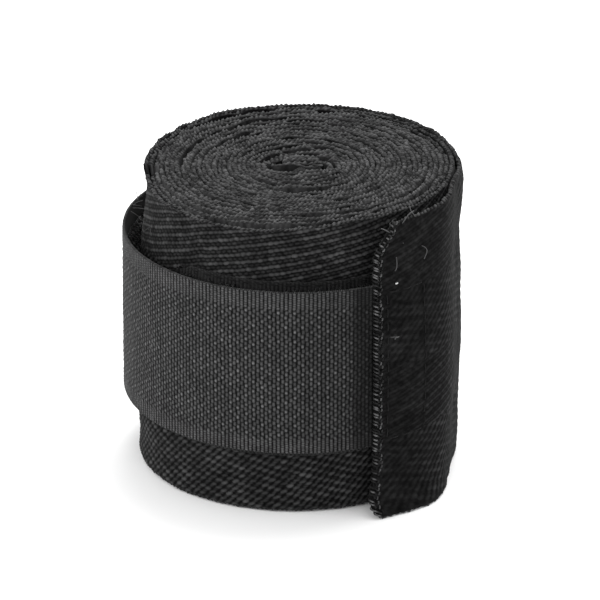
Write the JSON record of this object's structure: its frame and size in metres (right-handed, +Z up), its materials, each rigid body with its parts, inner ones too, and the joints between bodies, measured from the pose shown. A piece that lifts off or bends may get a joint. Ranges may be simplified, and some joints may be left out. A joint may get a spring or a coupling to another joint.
{
  "type": "hand wrap",
  "caption": "Woven cotton hand wrap wound into a tight upright roll and held shut by a hook tape strap that peels open round the front.",
  "frame": {"origin": "centre of the roll, on the face it stands on", "axes": "+Z up along the roll's axis; -Y towards the front of the hook strap; +X towards the side where the cloth end is sewn to the strap"},
  "size_m": [0.0545, 0.0535, 0.05],
  "materials": {
    "cotton": "matt woven herringbone",
    "thread": "matt",
    "thumb_tape": "matt woven",
    "loop_nylon": "satin woven",
    "pile_nylon": "soft pile",
    "strap_nylon": "satin woven",
    "hook_nylon": "satin"
  },
  "bodies": {
    "roll": {"wrap_cloth": "cotton", "start_overlock": "thread", "thumb_loop": "thumb_tape", "thumb_loop_tack": "thread", "loop_tape": "loop_nylon", "loop_pile": "pile_nylon", "loop_tape_stitch": "thread"},
    "end_1": {"cloth_end_1": "cotton"},
    "end_2": {"cloth_end_2": "cotton"},
    "end_3": {"cloth_end_3": "cotton", "end_overlock": "thread", "box_stitch": "thread", "strap_sewn": "strap_nylon", "hooks_sewn": "hook_nylon"},
    "strap_1": {"strap_1": "strap_nylon", "hooks_1": "hook_nylon"},
    "strap_2": {"strap_2": "strap_nylon", "hooks_2": "hook_nylon"},
    "strap_3": {"strap_3": "strap_nylon", "hooks_3": "hook_nylon"},
    "strap_4": {"strap_4": "strap_nylon", "hooks_4": "hook_nylon"},
    "strap_5": {"strap_5": "strap_nylon", "hooks_5": "hook_nylon"},
    "strap_6": {"strap_6": "strap_nylon", "hooks_6": "hook_nylon"},
    "strap_7": {"strap_7": "strap_nylon", "hooks_7": "hook_nylon"}
  },
  "joints": [
    {"name": "cloth_lift_1", "type": "hinge", "parent": "roll", "child": "end_1", "pos_m": [-0.00316, 0.02565, 0.025], "axis": [0, 0, 1], "range_deg": [0, 8.4]},
    {"name": "cloth_lift_2", "type": "hinge", "parent": "end_1", "child": "end_2", "pos_m": [0.01944, 0.01731, 0.025], "axis": [0, 0, 1], "range_deg": [0, 8.4]},
    {"name": "cloth_lift_3", "type": "hinge", "parent": "end_2", "child": "end_3", "pos_m": [0.02551, -0.00547, 0.025], "axis": [0, 0, 1], "range_deg": [0, 8.4]},
    {"name": "strap_root_peel", "type": "hinge", "parent": "end_3", "child": "strap_1", "pos_m": [0.01199, -0.0247, 0.025], "axis": [0, 0, 1], "range_deg": [0, 24]},
    {"name": "strap_bend_2", "type": "hinge", "parent": "strap_1", "child": "strap_2", "pos_m": [0.00084, -0.02762, 0.025], "axis": [0, 0, 1], "range_deg": [0, 24]},
    {"name": "strap_bend_3", "type": "hinge", "parent": "strap_2", "child": "strap_3", "pos_m": [-0.01054, -0.02578, 0.025], "axis": [0, 0, 1], "range_deg": [0, 24]},
    {"name": "strap_tip_peel", "type": "hinge", "parent": "strap_3", "child": "strap_4", "pos_m": [-0.02021, -0.01952, 0.025], "axis": [0, 0, 1], "range_deg": [0, 24]},
    {"name": "strap_bend_5", "type": "hinge", "parent": "strap_4", "child": "strap_5", "pos_m": [-0.02653, -0.00988, 0.025], "axis": [0, 0, 1], "range_deg": [0, 24]},
    {"name": "strap_bend_6", "type": "hinge", "parent": "strap_5", "child": "strap_6", "pos_m": [-0.02842, 0.00149, 0.025], "axis": [0, 0, 1], "range_deg": [0, 24]},
    {"name": "strap_bend_7", "type": "hinge", "parent": "strap_6", "child": "strap_7", "pos_m": [-0.02557, 0.01266, 0.025], "axis": [0, 0, 1], "range_deg": [0, 24]}
  ],
  "couplings": [
    {"joint": "strap_bend_2", "follows": "strap_root_peel", "ratio": 1},
    {"joint": "strap_bend_3", "follows": "strap_root_peel", "ratio": 1},
    {"joint": "cloth_lift_1", "follows": "strap_root_peel", "ratio": 0.35},
    {"joint": "cloth_lift_2", "follows": "strap_root_peel", "ratio": 0.35},
    {"joint": "cloth_lift_3", "follows": "strap_root_peel", "ratio": 0.35},
    {"joint": "strap_bend_5", "follows": "strap_tip_peel", "ratio": 1},
    {"joint": "strap_bend_6", "follows": "strap_tip_peel", "ratio": 1},
    {"joint": "strap_bend_7", "follows": "strap_tip_peel", "ratio": 1}
  ]
}
